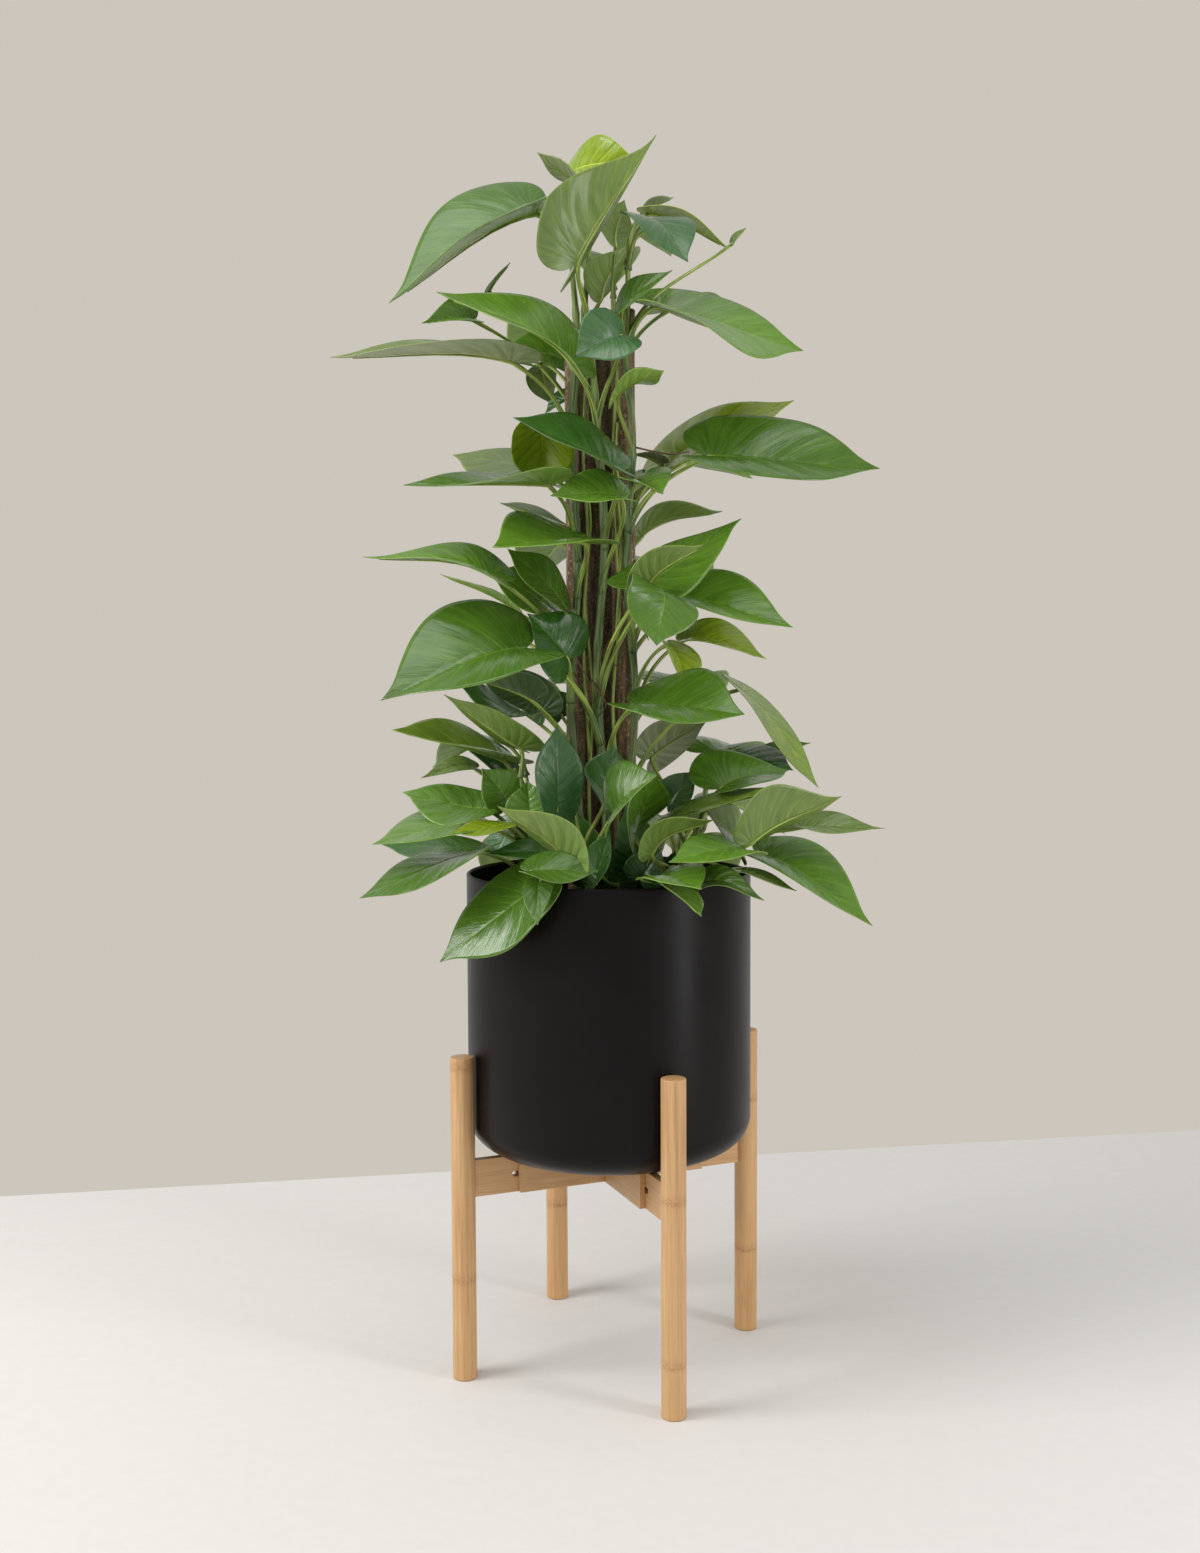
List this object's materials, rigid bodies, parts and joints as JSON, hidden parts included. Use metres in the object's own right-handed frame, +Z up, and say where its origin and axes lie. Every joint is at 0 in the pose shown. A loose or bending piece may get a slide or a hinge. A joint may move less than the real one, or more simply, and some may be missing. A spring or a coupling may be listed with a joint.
{
  "type": "potted pothos plant",
  "caption": "Jade pothos vine climbing rough wooden stakes in a black pot, on a bamboo plant stand whose legs slide in and out.",
  "frame": {"origin": "on the floor under the middle of the plant and its stand", "axes": "+Z up the stakes, +X to the viewer's right, +Y away from the viewer"},
  "size_m": [0.5501, 0.4108, 1.291],
  "materials": {
    "bamboo": "satin lacquer",
    "pin_steel": "plain",
    "pot_black": "satin",
    "potting_soil": "rough",
    "bark": "rough",
    "leaf_green": "glossy"
  },
  "bodies": {
    "stand_middle": {"board_lengthways_right": "bamboo", "board_lengthways_left": "bamboo", "board_crossways_back": "bamboo", "board_crossways_front": "bamboo", "pin_front": "pin_steel", "pin_right": "pin_steel", "pin_back": "pin_steel", "pin_left": "pin_steel", "pot": "pot_black", "soil": "potting_soil", "stake_left": "bark", "stake_centre": "bark", "stake_right": "bark", "stem_centre": "leaf_green", "stem_left": "leaf_green", "stem_right": "leaf_green", "stem_back_left": "leaf_green", "stem_back_right": "leaf_green", "stem_low_front": "leaf_green", "stem_low_left_front": "leaf_green", "stem_low_left": "leaf_green", "stem_low_right_front": "leaf_green", "stem_low_right": "leaf_green", "stem_low_back_left": "leaf_green", "stem_low_back_right": "leaf_green", "stem_low_back": "leaf_green"},
    "sliding_leg_front": {"leg_front": "bamboo", "arm_front": "bamboo"},
    "sliding_leg_right": {"leg_right": "bamboo", "arm_right": "bamboo"},
    "sliding_leg_back": {"leg_back": "bamboo", "arm_back": "bamboo"},
    "sliding_leg_left": {"leg_left": "bamboo", "arm_left": "bamboo"}
  },
  "joints": [
    {"name": "front_leg_slide", "type": "slide", "parent": "stand_middle", "child": "sliding_leg_front", "axis": [0.3762, -0.9265, 0], "range_m": [0, 0.025]},
    {"name": "right_leg_slide", "type": "slide", "parent": "stand_middle", "child": "sliding_leg_right", "axis": [0.9265, 0.3762, 0], "range_m": [0, 0.025]},
    {"name": "back_leg_slide", "type": "slide", "parent": "stand_middle", "child": "sliding_leg_back", "axis": [-0.3762, 0.9265, 0], "range_m": [0, 0.025]},
    {"name": "left_leg_slide", "type": "slide", "parent": "stand_middle", "child": "sliding_leg_left", "axis": [-0.9265, -0.3762, 0], "range_m": [0, 0.025]}
  ]
}
